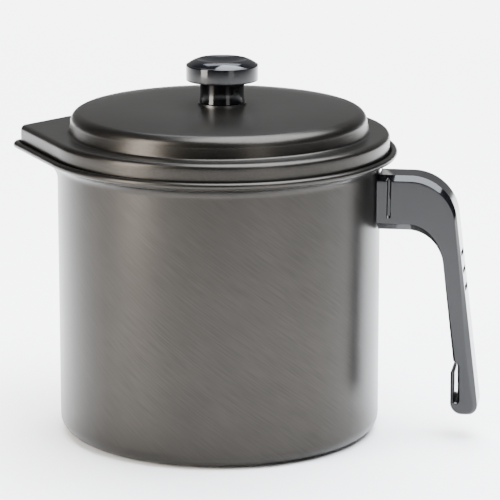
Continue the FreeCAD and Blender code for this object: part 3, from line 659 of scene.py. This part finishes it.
def handle_edges(h):
    """Outer and inner side of the handle as matched rows of x, z, from the root
    round the bend, down the grip, under the end and up the hook to its tip."""
    outer_corner = (h.outer_corner, h.top)
    outer_low = (h.outer_end, h.bottom)
    inner_corner = (h.inner_corner, h.underside)
    inner_low = (h.inner_end, h.bottom)
    slot_low = h.bottom + h.floor
    hook_top = slot_low + h.slot_height
    left = h.hook_x + h.hook
    right = left + h.slot

    def inner_x(z):
        part = (h.underside - z) / (h.underside - h.bottom)
        return h.inner_corner + (h.inner_end - h.inner_corner) * part

    def outer_x(z):
        part = (h.top - z) / (h.top - h.bottom)
        return h.outer_corner + (h.outer_end - h.outer_corner) * part

    outer_bend = bend_at((HANDLE_ROOT, h.top), outer_corner, outer_low, h.outer_bend, 30)
    inner_bend = bend_at((HANDLE_ROOT, h.underside), inner_corner, inner_low, h.inner_bend, 30)
    end_bend = bend_at(outer_corner, outer_low, (h.hook_x, h.bottom), h.end_round, 9)
    hook_bend = bend_at(outer_low, (h.hook_x, h.bottom), (h.hook_x, hook_top), h.hook_round, 12)
    slot_mouth = hook_top + 2.0 * h.slot
    outer = [straight((HANDLE_ROOT, h.top), outer_bend[0], 40), outer_bend]
    inner = [straight((HANDLE_ROOT, h.underside), inner_bend[0], 40), inner_bend]
    grip_end = slot_mouth + 0.0016
    z_out = np.linspace(outer_bend[-1][1], grip_end, 121)[1:]
    z_in = np.linspace(inner_bend[-1][1], grip_end, 121)[1:]
    outer.append(np.stack([outer_x(z_out), z_out], -1))
    inner.append(np.stack([inner_x(z_in), z_in], -1))
    lead = bend_at((inner_x(grip_end), grip_end), (right - 0.0003, slot_mouth - 0.0006),
                   (right, slot_low), 0.0012, 8)
    z_step = np.linspace(grip_end, slot_mouth - 0.002, 9)[1:]
    outer.append(np.stack([outer_x(z_step), z_step], -1))
    inner.append(lead)
    z_step = np.linspace(slot_mouth - 0.002, end_bend[0][1], 13)[1:]
    outer.append(np.stack([outer_x(z_step), z_step], -1))
    inner.append(straight(lead[-1], (right, slot_low + h.slot * 0.5), 12))
    outer.append(end_bend[1:])
    turn = arc_points((left + h.slot * 0.5, slot_low + h.slot * 0.5), h.slot * 0.5, 0, -180, 32)
    inner.append(turn[1:9])
    outer.append(straight(end_bend[-1], hook_bend[0], 11))
    inner.append(turn[9:20])
    outer.append(hook_bend[1:])
    inner.append(turn[20:31])
    tip = np.linspace(hook_bend[-1][1], hook_top - h.hook * 0.5, 15)[1:]
    outer.append(np.stack([np.full(14, h.hook_x), tip], -1))
    tip_in = np.linspace(turn[-1][1], hook_top - h.hook * 0.5, 15)[1:]
    inner.append(np.stack([np.full(14, left), tip_in], -1))
    tip_middle = (h.hook_x + h.hook * 0.5, hook_top - h.hook * 0.5)
    crown = arc_points(tip_middle, h.hook * 0.5, 180, 98, 7)[1:]
    outer.append(crown)
    mirrored = crown.copy()
    mirrored[:, 0] = 2.0 * h.hook_x + h.hook - mirrored[:, 0]
    inner.append(mirrored)
    return np.concatenate(outer), np.concatenate(inner)


def section_columns(width, depth, outer_bevel, inner_bevel, soft=0.0006):
    """One closed cross-section: across is the handle's width, depth runs from 0 at
    the outer side to 1 at the inner side; rounded bevels at all four corners."""
    half = width / 2.0
    ob = min(outer_bevel, depth * 0.42)
    ib = min(inner_bevel, depth * 0.42)
    corners = [
        (-half + ob, 0.0), (half - ob, 0.0), (half, ob), (half, depth - ib),
        (half - ib, depth), (-half + ib, depth), (-half, depth - ib), (-half, ob),
    ]
    runs = (25, 3, 17, 3, 9, 3, 17, 3)
    count = len(corners)
    rows = []
    for index in range(count):
        at = np.array(corners[index])
        before = np.array(corners[index - 1])
        after = np.array(corners[(index + 1) % count])
        following = np.array(corners[(index + 2) % count])
        size = min(soft, np.linalg.norm(at - before) * 0.45, np.linalg.norm(after - at) * 0.45)
        rows.append(bend_at(before, at, after, size * 0.9, 5))
        next_size = min(soft, np.linalg.norm(after - at) * 0.45,
                        np.linalg.norm(following - after) * 0.45)
        next_bend = bend_at(at, after, following, next_size * 0.9, 5)
        rows.append(np.linspace(rows[-1][-1], next_bend[0], runs[index] + 2)[1:-1])
    return np.concatenate(rows)


def smooth(u):
    """Soft step from 0 to 1."""
    u = np.clip(u, 0.0, 1.0)
    return u * u * (3.0 - 2.0 * u)


def handle_points(h, pot):
    """Cross-sections carried from the root to the hook's tip, with the moulded neck
    pressed in at the sides and the finger grooves pressed into the outer face."""
    outer, inner = handle_edges(h)
    rows = len(outer)
    bend_start, bend_end = 40, 70
    grip = np.arange(rows)
    bevel_in = np.where(grip < bend_start, h.under_bevel,
                        h.under_bevel + (h.grip_bevel - h.under_bevel)
                        * smooth((grip - bend_start) / (bend_end - bend_start)))
    tail = smooth((grip - (rows - 62)) / 24.0)
    bevel_out = h.top_bevel + (h.grip_bevel - h.top_bevel) * tail
    sections = []
    for k in range(rows):
        across = outer[k] - inner[k]
        depth = float(np.linalg.norm(across))
        column = section_columns(h.width, depth, bevel_out[k], bevel_in[k])
        part = column[:, 1:2] / depth
        xz = outer[k][None] * (1.0 - part) + inner[k][None] * part
        sections.append(np.stack([xz[:, 0], column[:, 0], xz[:, 1]], -1))
    points = np.array(sections)
    x, y, z = points[..., 0].copy(), points[..., 1].copy(), points[..., 2].copy()
    flare = np.vectorize(lambda height: mouth_at(pot, height)[0])(z + HANDLE_GAP)
    wall = np.sqrt((flare + HANDLE_GAP) ** 2 - y ** 2)
    root_end = HANDLE_ROOT + HANDLE_ROOT_RUN
    share_in = np.clip((x - HANDLE_ROOT) / HANDLE_ROOT_RUN, 0.0, 1.0)
    x = np.where(x < root_end, wall + (root_end - wall) * share_in, x)
    middle = h.neck_at + h.neck_width / 2.0
    near = 1.0 - smooth((np.abs(x - middle) - h.neck_width * 0.30) / (h.neck_width * 0.22))
    above = smooth((z - h.neck_low) / 0.0006 + 0.5)
    press = h.neck_depth * near * above
    y = np.sign(y) * np.minimum(np.abs(y), h.width / 2.0 - press)
    on_outer = np.zeros(points.shape[1], bool)
    on_outer[:32] = True
    for index in range(3):
        height = h.groove_top - index * h.groove_pitch
        from_middle = np.abs(z - height)
        tall = 1.0 - smooth((from_middle - h.groove_height * 0.30) / (h.groove_height * 0.22))
        wide = 1.0 - smooth((np.abs(y) - h.groove_length * 0.46) / (h.groove_length * 0.06))
        x = x - np.where(on_outer[None], h.groove_depth * tall * wide, 0.0)
    return np.stack([x, y, z], -1)


# Knob

def knob_profile(k, base):
    """Profile of radius and height from the bore over the neck and cap to the dish."""
    cap_low = base + k.neck_height
    cap_high = cap_low + k.side
    ring_top = cap_high + k.ring_rise
    deep = base + KNOB_BORE_DEPTH
    edge = k.edge
    slope = k.cap - edge - k.dish
    sphere = (k.dish ** 2 + k.dish_depth ** 2) / (2.0 * k.dish_depth)
    down = np.linspace(k.dish - 0.0004, 0.0002, 16)
    dish = np.stack([down, ring_top - k.dish_depth + sphere - np.sqrt(sphere ** 2 - down ** 2)], -1)
    neck = circle_through((k.neck, base + 0.0003), (k.neck - k.waist, base + k.neck_height / 2.0),
                          (k.neck, cap_low - 0.0004), 14)
    rise = circle_through((k.cap - edge - 0.0001, cap_high + 0.0001),
                          (k.cap - edge - slope * 0.45, cap_high + k.ring_rise * 0.60),
                          (k.dish + 0.0008, ring_top - 0.0002), 12)
    rim = circle_through((k.dish + 0.0005, ring_top - 0.0001), (k.dish + 0.0001, ring_top - 0.00002),
                         (k.dish - 0.0003, ring_top - 0.0001), 5)
    return np.concatenate([
        [(0.0002, deep), (KNOB_BORE, deep), (KNOB_BORE, base)],
        [(k.neck - 0.0003, base)],
        neck,
        arc_points((k.neck + 0.0004, cap_low - 0.0004), 0.0004, 180, 90, 5)[1:],
        arc_points((k.cap - edge, cap_low + edge), edge, -90, 0, 7),
        arc_points((k.cap - edge, cap_high - edge), edge, 0, 90, 7),
        rise,
        rim,
        dish,
    ])


# Operators

class GREASEPOT_OT_pot(bpy.types.Operator):
    """Make the drawn pot with its lip and rolled bead"""
    bl_idname = "greasepot.pot"
    bl_label = "Pot"

    def execute(self, context):
        s = context.scene
        material = satin_coat("satin coat pot", s.greasepot_finish.coat,
                              s.greasepot_finish.coat_roughness, (0.0, 0.0, -0.65), 0.07)
        theta = turn_angles()
        points = ring_levels(pot_levels(s.greasepot_body), theta)
        mesh = grid_mesh("pot_shell", points, False, True, True, True)
        place("pot_shell", mesh, material, "pot", ["pot_body"])
        return {"FINISHED"}


class GREASEPOT_OT_lid(bpy.types.Operator):
    """Make the pressed lid with skirt, flange and crowned middle"""
    bl_idname = "greasepot.lid"
    bl_label = "Lid"

    def execute(self, context):
        s = context.scene
        material = satin_coat("satin coat lid", s.greasepot_finish.coat,
                              s.greasepot_finish.coat_roughness, (0.0, 0.0, -0.6))
        levels = lid_levels(s.greasepot_body, s.greasepot_lid, s.greasepot_knob,
                            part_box("lid_plate"))
        points = ring_levels(levels, turn_angles())
        mesh = grid_mesh("lid_shell", points, True, True)
        place("lid_shell", mesh, material, "lid", ["lid_plate"])
        return {"FINISHED"}


class GREASEPOT_OT_knob(bpy.types.Operator):
    """Make the moulded knob and finish its collar, insert, washer and screw"""
    bl_idname = "greasepot.knob"
    bl_label = "Knob"

    def execute(self, context):
        s = context.scene
        k = s.greasepot_knob
        profile = knob_profile(k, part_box("knob")[0][2])
        mesh = revolve_profile("knob_body", profile, k.offset, 180, False, (True, True))
        black = black_moulding("black moulding knob", s.greasepot_finish.moulding,
                               s.greasepot_finish.moulding_roughness)
        place("knob_body", mesh, black, "lid", ["knob"], 50.0)
        steel = turned_metal("turned steel fasteners", s.greasepot_finish.steel, 0.28, k.offset)
        dark = turned_metal("dark steel collar", (0.16, 0.155, 0.15), 0.3, k.offset)
        brass = turned_metal("turned brass insert", s.greasepot_finish.brass, 0.3, k.offset)
        finish_node("knob_collar", dark)
        finish_node("knob_insert", brass)
        finish_node("knob_screw", steel)
        finish_node("lid_washer", steel)
        return {"FINISHED"}


class GREASEPOT_OT_handle(bpy.types.Operator):
    """Make the moulded handle with bevels, neck, grooves and hanging hook"""
    bl_idname = "greasepot.handle"
    bl_label = "Handle"

    def execute(self, context):
        s = context.scene
        black = black_moulding("black moulding handle", s.greasepot_finish.moulding,
                               s.greasepot_finish.moulding_roughness)
        points = handle_points(s.greasepot_handle, s.greasepot_body)
        mesh = grid_mesh("handle_body", points, False, True, True, True)
        place("handle_body", mesh, black, "pot", ["handle"], 40.0)
        finish_node("handle_bracket", turned_metal("pressed steel bracket", (0.30, 0.30, 0.31), 0.35))
        finish_node("handle_screw", turned_metal("turned steel handle screw", s.greasepot_finish.steel,
                                                 0.28, HANDLE_SCREW_PLACE))
        return {"FINISHED"}


class GREASEPOT_OT_strainer(bpy.types.Operator):
    """Finish the strainer's pan, woven screen and crimped ring"""
    bl_idname = "greasepot.strainer"
    bl_label = "Strainer"

    def execute(self, context):
        s = context.scene
        steel = turned_metal("pressed steel strainer", s.greasepot_finish.steel, 0.3)
        finish_node("strainer_pan", steel)
        finish_node("strainer_ring", turned_metal("crimped steel ring", s.greasepot_finish.steel, 0.24))
        finish_node("strainer_mesh", woven_wire("woven wire screen", (0.55, 0.54, 0.52)))
        return {"FINISHED"}


def soft_light(name, spot, target, width, height, power, colour=(1.0, 1.0, 1.0), shines=True):
    """Large soft lamp aimed at a point, not seen by the camera. One that doesn't shine
    lights the floor and the pot but is left out of reflections."""
    lamp = bpy.data.lights.new(name, "AREA")
    lamp.shape = "RECTANGLE"
    lamp.size = width
    lamp.size_y = height
    lamp.energy = power
    lamp.color = colour
    item = bpy.data.objects.new(name, lamp)
    item.location = spot
    item.rotation_mode = "QUATERNION"
    item.rotation_quaternion = (Vector(target) - Vector(spot)).to_track_quat("-Z", "Y")
    item.visible_camera = False
    item.visible_glossy = shines
    bpy.context.scene.collection.objects.link(item)


def pale_floor(scene):
    """Wide plain floor just under the pot."""
    material, _, _, shader = base_material("pale floor")
    shader.inputs["Base Color"].default_value = (0.93, 0.93, 0.93, 1.0)
    shader.inputs["Roughness"].default_value = 0.75
    side = np.linspace(-6.0, 6.0, 13)
    points = np.stack(np.meshgrid(side, side, [-0.0002], indexing="ij"), -1)[:, :, 0, :]
    mesh = grid_mesh("floor", points, False, False)
    mesh.materials.append(material)
    floor = bpy.data.objects.new("floor", mesh)
    scene.collection.objects.link(floor)


def studio_sky(scene, flat_back):
    """Dark sky that brightens towards the side of the pot away from the photograph's camera."""
    world = bpy.data.worlds.new("studio")
    scene.world = world
    world.use_nodes = True
    nodes, links = world.node_tree.nodes, world.node_tree.links
    ground = nodes["Background"]
    where = add(nodes, "ShaderNodeTexCoord", -900, 0)
    facing = add(nodes, "ShaderNodeVectorMath", -700, 0, operation="DOT_PRODUCT")
    facing.inputs[1].default_value = (-flat_back.x, -flat_back.y, 0.0)
    links.new(where.outputs["Generated"], facing.inputs[0])
    shade = add(nodes, "ShaderNodeMapRange", -500, 0, interpolation_type="SMOOTHSTEP")
    shade.inputs["From Min"].default_value = 0.55
    shade.inputs["From Max"].default_value = 0.80
    shade.inputs["To Min"].default_value = 0.02
    shade.inputs["To Max"].default_value = 0.32
    links.new(facing.outputs["Value"], shade.inputs["Value"])
    links.new(shade.outputs["Result"], ground.inputs["Strength"])
    ground.inputs["Color"].default_value = (1.0, 1.0, 1.0, 1.0)


def studio_lamps(azimuth, middle, flat_back):
    """Soft lamps round the pot and one behind it for the floor."""

    def around(turn, lift, far):
        """Spot at an angle to the right of the camera, seen from above."""
        t = azimuth + math.radians(turn)
        v = math.radians(lift)
        return middle + far * Vector((math.sin(t) * math.cos(v), -math.cos(t) * math.cos(v),
                                      math.sin(v)))

    soft_light("soft left", around(-58, 10, 0.9), middle, 0.35, 1.1, 26.0, (1.0, 0.94, 0.87))
    soft_light("soft right", around(30, 8, 1.0), middle, 0.3, 0.8, 2.0, (1.0, 0.97, 0.94))
    soft_light("soft top", around(70, 71, 0.9), middle, 1.0, 1.0, 60.0, (0.88, 0.93, 1.0))
    soft_light("soft rear", around(180, 58, 0.9), middle, 0.5, 0.25, 2.4, (0.84, 0.90, 1.0))
    soft_light("backdrop", -flat_back * 1.7 + Vector((0.0, 0.0, 1.6)), -flat_back * 1.5,
               3.0, 1.4, 300.0, shines=False)


def photo_camera(scene, studio, middle, back, right):
    """Camera at the photograph's angle, moved sideways to frame the pot as it does."""
    data = bpy.data.cameras.new("camera")
    data.sensor_width = 36.0
    data.lens = data.sensor_width / 2.0 * studio.distance / (studio.frame_width / 2.0)
    data.clip_start = 0.05
    data.clip_end = 60.0
    up = back.cross(right)
    per_pixel = studio.frame_width / PHOTO_SIDE
    half = PHOTO_SIDE / 2.0
    aim = middle + right * (half - AXIS_ACROSS) * per_pixel + up * (MIDDLE_DOWN - half) * per_pixel
    camera = bpy.data.objects.new("camera", data)
    camera.location = aim + back * studio.distance
    camera.rotation_mode = "QUATERNION"
    camera.rotation_quaternion = (-back).to_track_quat("-Z", "Y")
    scene.collection.objects.link(camera)
    scene.camera = camera


class GREASEPOT_OT_stage(bpy.types.Operator):
    """Make the pale floor, the soft studio light and the camera"""
    bl_idname = "greasepot.stage"
    bl_label = "Stage"

    def execute(self, context):
        s = context.scene
        a, e = s.greasepot_studio.azimuth, s.greasepot_studio.elevation
        flat_back = Vector((math.sin(a), -math.cos(a), 0.0))
        back = Vector((math.sin(a) * math.cos(e), -math.cos(a) * math.cos(e), math.sin(e)))
        right = Vector((math.cos(a), math.sin(a), 0.0))
        middle = Vector((0.0, 0.0, VIEW_MIDDLE))
        pale_floor(s)
        studio_sky(s, flat_back)
        studio_lamps(a, middle, flat_back)
        photo_camera(s, s.greasepot_studio, middle, back, right)
        return {"FINISHED"}


class GREASEPOT_PT_panel(bpy.types.Panel):
    """Lists the pot's pieces and sizes"""
    bl_idname = "GREASEPOT_PT_panel"
    bl_label = "Grease Pot"
    bl_space_type = "VIEW_3D"
    bl_region_type = "UI"
    bl_category = "Grease Pot"

    def draw(self, context):
        layout = self.layout
        for operator in OPERATORS:
            layout.operator(operator.bl_idname)
        for key, group in GROUPS.items():
            box = layout.box()
            box.label(text=group.__doc__)
            for name in group.__annotations__:
                box.prop(getattr(context.scene, key), name)


OPERATORS = (GREASEPOT_OT_pot, GREASEPOT_OT_lid, GREASEPOT_OT_knob, GREASEPOT_OT_handle,
             GREASEPOT_OT_strainer, GREASEPOT_OT_stage)

GROUPS = {
    "greasepot_body": GreasePotBodySizes,
    "greasepot_lid": GreasePotLidSizes,
    "greasepot_knob": GreasePotKnobSizes,
    "greasepot_handle": GreasePotHandleSizes,
    "greasepot_finish": GreasePotFinish,
    "greasepot_studio": GreasePotStudio,
}


def register():
    """Registers the classes and keeps the sizes with the scene."""
    for key, group in GROUPS.items():
        bpy.utils.register_class(group)
        setattr(bpy.types.Scene, key, bpy.props.PointerProperty(type=group))
    for operator in OPERATORS:
        bpy.utils.register_class(operator)
    bpy.utils.register_class(GREASEPOT_PT_panel)


def unregister():
    """Takes the classes out again."""
    bpy.utils.unregister_class(GREASEPOT_PT_panel)
    for operator in reversed(OPERATORS):
        bpy.utils.unregister_class(operator)
    for key, group in reversed(GROUPS.items()):
        delattr(bpy.types.Scene, key)
        bpy.utils.unregister_class(group)


def main():
    """Builds the whole pot."""
    register()
    bpy.ops.greasepot.pot()
    bpy.ops.greasepot.lid()
    bpy.ops.greasepot.knob()
    bpy.ops.greasepot.handle()
    bpy.ops.greasepot.strainer()
    bpy.ops.greasepot.stage()


if __name__ == "__main__":
    main()
